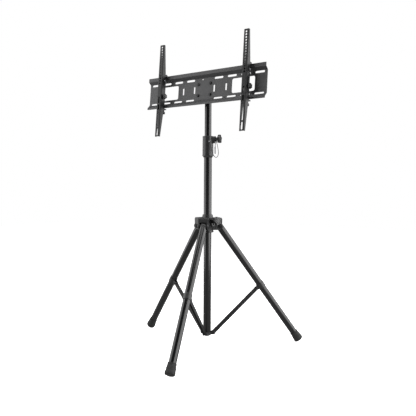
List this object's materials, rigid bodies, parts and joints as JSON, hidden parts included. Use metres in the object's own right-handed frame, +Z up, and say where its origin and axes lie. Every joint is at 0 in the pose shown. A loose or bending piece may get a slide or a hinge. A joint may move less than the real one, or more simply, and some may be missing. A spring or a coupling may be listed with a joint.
{
  "type": "tripod floor stand for a flat-panel display",
  "caption": "Folding tripod floor stand with a telescoping mast and a tilting, swivelling flat-panel mount with two sliding perforated arms.",
  "frame": {"origin": "middle of the footprint on the floor; the mast axis stands at x=58.1 mm, y=45.3 mm", "axes": "+Z up along the mast, +X along the rail plate to the viewer's right seen from the front, -Y the way the display faces"},
  "size_m": [0.7562, 0.7612, 1.3625],
  "materials": {
    "tube_coat": "semi-gloss powder coat",
    "sheet_coat": "fine textured powder coat",
    "moulded_plastic": "satin moulded plastic",
    "knob_plastic": "grained moulded plastic",
    "nylon": "natural nylon",
    "foot_rubber": "matt rubber",
    "tether_cord": "plastic-covered cord",
    "zinc": "bright zinc plate",
    "black_steel": "black oxide"
  },
  "bodies": {
    "stand": {"outer_mast": "tube_coat", "bottom_hub": "moulded_plastic", "hub_rivets": "zinc", "clamp_collar": "moulded_plastic", "collar_bush": "nylon", "tether_screw": "zinc", "pin_tether": "tether_cord"},
    "crown_body": {"crown": "moulded_plastic", "crown_bush": "nylon", "crown_bolts": "zinc", "crown_nuts": "zinc", "crown_cap_screw": "black_steel"},
    "lock_knob_body": {"lock_knob": "knob_plastic", "lock_stud": "zinc"},
    "clamp_knob_body": {"clamp_knob": "knob_plastic", "clamp_stud": "zinc"},
    "pin_body": {"safety_pin": "zinc"},
    "leg_right": {"leg_tube_right": "tube_coat", "leg_cap_right": "moulded_plastic", "leg_strap_right": "moulded_plastic", "strap_rivet_right": "zinc", "foot_right": "foot_rubber"},
    "leg_left": {"leg_tube_left": "tube_coat", "leg_cap_left": "moulded_plastic", "leg_strap_left": "moulded_plastic", "strap_rivet_left": "zinc", "foot_left": "foot_rubber"},
    "leg_front": {"leg_tube_front": "tube_coat", "leg_cap_front": "moulded_plastic", "leg_strap_front": "moulded_plastic", "strap_rivet_front": "zinc", "foot_front": "foot_rubber"},
    "brace_body_right": {"brace_right": "sheet_coat"},
    "brace_body_left": {"brace_left": "sheet_coat"},
    "brace_body_front": {"brace_front": "sheet_coat"},
    "mast_guide": {"guide_ring": "nylon"},
    "mast_upper": {"upper_mast": "tube_coat", "mast_cap": "moulded_plastic", "tilt_bolts": "zinc", "tilt_nuts": "zinc"},
    "head": {"tilt_bracket": "sheet_coat", "rail_plate": "sheet_coat", "plate_bolts": "black_steel", "plate_nuts": "zinc"},
    "carrier_left": {"hook_left": "sheet_coat", "tilt_bolt_left": "zinc"},
    "carrier_right": {"hook_right": "sheet_coat", "tilt_bolt_right": "zinc"},
    "arm_body_left": {"arm_left": "sheet_coat", "guide_bolt_left": "zinc"},
    "arm_body_right": {"arm_right": "sheet_coat", "guide_bolt_right": "zinc"},
    "tilt_knob_body_left": {"tilt_knob_left": "knob_plastic"},
    "tilt_knob_body_right": {"tilt_knob_right": "knob_plastic"},
    "latch_left": {"lock_screw_left": "black_steel"},
    "latch_right": {"lock_screw_right": "black_steel"}
  },
  "joints": [
    {"name": "tripod_fold", "type": "slide", "parent": "stand", "child": "crown_body", "axis": [0, 0, 1], "range_m": [0, 0.13228]},
    {"name": "leg_right_fold", "type": "hinge", "parent": "crown_body", "child": "leg_right", "pos_m": [0.09446, 0.08521, 0.535], "axis": [-0.7396, 0.673, 0], "range_deg": [-0.05, 35.77]},
    {"name": "leg_left_fold", "type": "hinge", "parent": "crown_body", "child": "leg_left", "pos_m": [0.00536, 0.05677, 0.535], "axis": [-0.213, -0.977, 0], "range_deg": [-0.05, 35.77]},
    {"name": "leg_front_fold", "type": "hinge", "parent": "crown_body", "child": "leg_front", "pos_m": [0.07454, -0.00617, 0.535], "axis": [0.9527, 0.304, 0], "range_deg": [-0.05, 35.77]},
    {"name": "brace_right_fold", "type": "hinge", "parent": "leg_right", "child": "brace_body_right", "pos_m": [0.21042, 0.21264, 0.24997], "axis": [-0.7396, 0.673, 0], "range_deg": [-82.22, 0.05]},
    {"name": "brace_left_fold", "type": "hinge", "parent": "leg_left", "child": "brace_body_left", "pos_m": [-0.16298, 0.09348, 0.24997], "axis": [-0.213, -0.977, 0], "range_deg": [-82.22, 0.05]},
    {"name": "brace_front_fold", "type": "hinge", "parent": "leg_front", "child": "brace_body_front", "pos_m": [0.12692, -0.17031, 0.24997], "axis": [0.9527, 0.304, 0], "range_deg": [-82.22, 0.05]},
    {"name": "lock_knob_turn", "type": "hinge", "parent": "crown_body", "child": "lock_knob_body", "pos_m": [0.11577, 0.0327, 0.561], "axis": [0.977, -0.213, 0], "range_deg": [0, 360]},
    {"name": "clamp_knob_turn", "type": "hinge", "parent": "stand", "child": "clamp_knob_body", "pos_m": [0.10243, 0.06001, 0.922], "axis": [0.9489, 0.3156, 0], "range_deg": [0, 360]},
    {"name": "pin_swing", "type": "hinge", "parent": "stand", "child": "pin_body", "pos_m": [0.08212, 0.06697, 0.8921], "axis": [0.9489, 0.3156, 0], "range_deg": [-12, 12]},
    {"name": "mast_height", "type": "slide", "parent": "stand", "child": "mast_guide", "axis": [0, 0, 1], "range_m": [-0.12, 0.2]},
    {"name": "mast_swivel", "type": "hinge", "parent": "mast_guide", "child": "mast_upper", "pos_m": [0.05812, 0.04527, 1.142], "axis": [0, 0, 1], "continuous": true},
    {"name": "head_tilt", "type": "hinge", "parent": "mast_upper", "child": "head", "pos_m": [0.05812, 0.04527, 1.142], "axis": [1, 0, 0], "range_deg": [-5, 10]},
    {"name": "arm_left_slide", "type": "slide", "parent": "head", "child": "carrier_left", "axis": [1, 0, 0], "range_m": [-0.08, 0.12]},
    {"name": "arm_left_tilt", "type": "hinge", "parent": "carrier_left", "child": "arm_body_left", "pos_m": [-0.16488, -0.01445, 1.12393], "axis": [1, 0, 0], "range_deg": [0, 8]},
    {"name": "tilt_knob_left_turn", "type": "hinge", "parent": "carrier_left", "child": "tilt_knob_body_left", "pos_m": [-0.16488, -0.01445, 1.12393], "axis": [1, 0, 0], "range_deg": [0, 360]},
    {"name": "lock_screw_left_drop", "type": "slide", "parent": "carrier_left", "child": "latch_left", "axis": [0, 0.0837, 0.9965], "range_m": [-0.012, 0]},
    {"name": "arm_right_slide", "type": "slide", "parent": "head", "child": "carrier_right", "axis": [1, 0, 0], "range_m": [-0.13, 0.055]},
    {"name": "arm_right_tilt", "type": "hinge", "parent": "carrier_right", "child": "arm_body_right", "pos_m": [0.29412, -0.01445, 1.12393], "axis": [1, 0, 0], "range_deg": [0, 8]},
    {"name": "tilt_knob_right_turn", "type": "hinge", "parent": "carrier_right", "child": "tilt_knob_body_right", "pos_m": [0.29412, -0.01445, 1.12393], "axis": [1, 0, 0], "range_deg": [0, 360]},
    {"name": "lock_screw_right_drop", "type": "slide", "parent": "carrier_right", "child": "latch_right", "axis": [0, 0.0837, 0.9965], "range_m": [-0.012, 0]}
  ],
  "couplings": [
    {"joint": "leg_right_fold", "follows": "tripod_fold", "rad_per_m": 4.7124},
    {"joint": "leg_left_fold", "follows": "tripod_fold", "rad_per_m": 4.7124},
    {"joint": "leg_front_fold", "follows": "tripod_fold", "rad_per_m": 4.7124},
    {"joint": "brace_right_fold", "follows": "tripod_fold", "rad_per_m": -10.841},
    {"joint": "brace_left_fold", "follows": "tripod_fold", "rad_per_m": -10.841},
    {"joint": "brace_front_fold", "follows": "tripod_fold", "rad_per_m": -10.841}
  ]
}
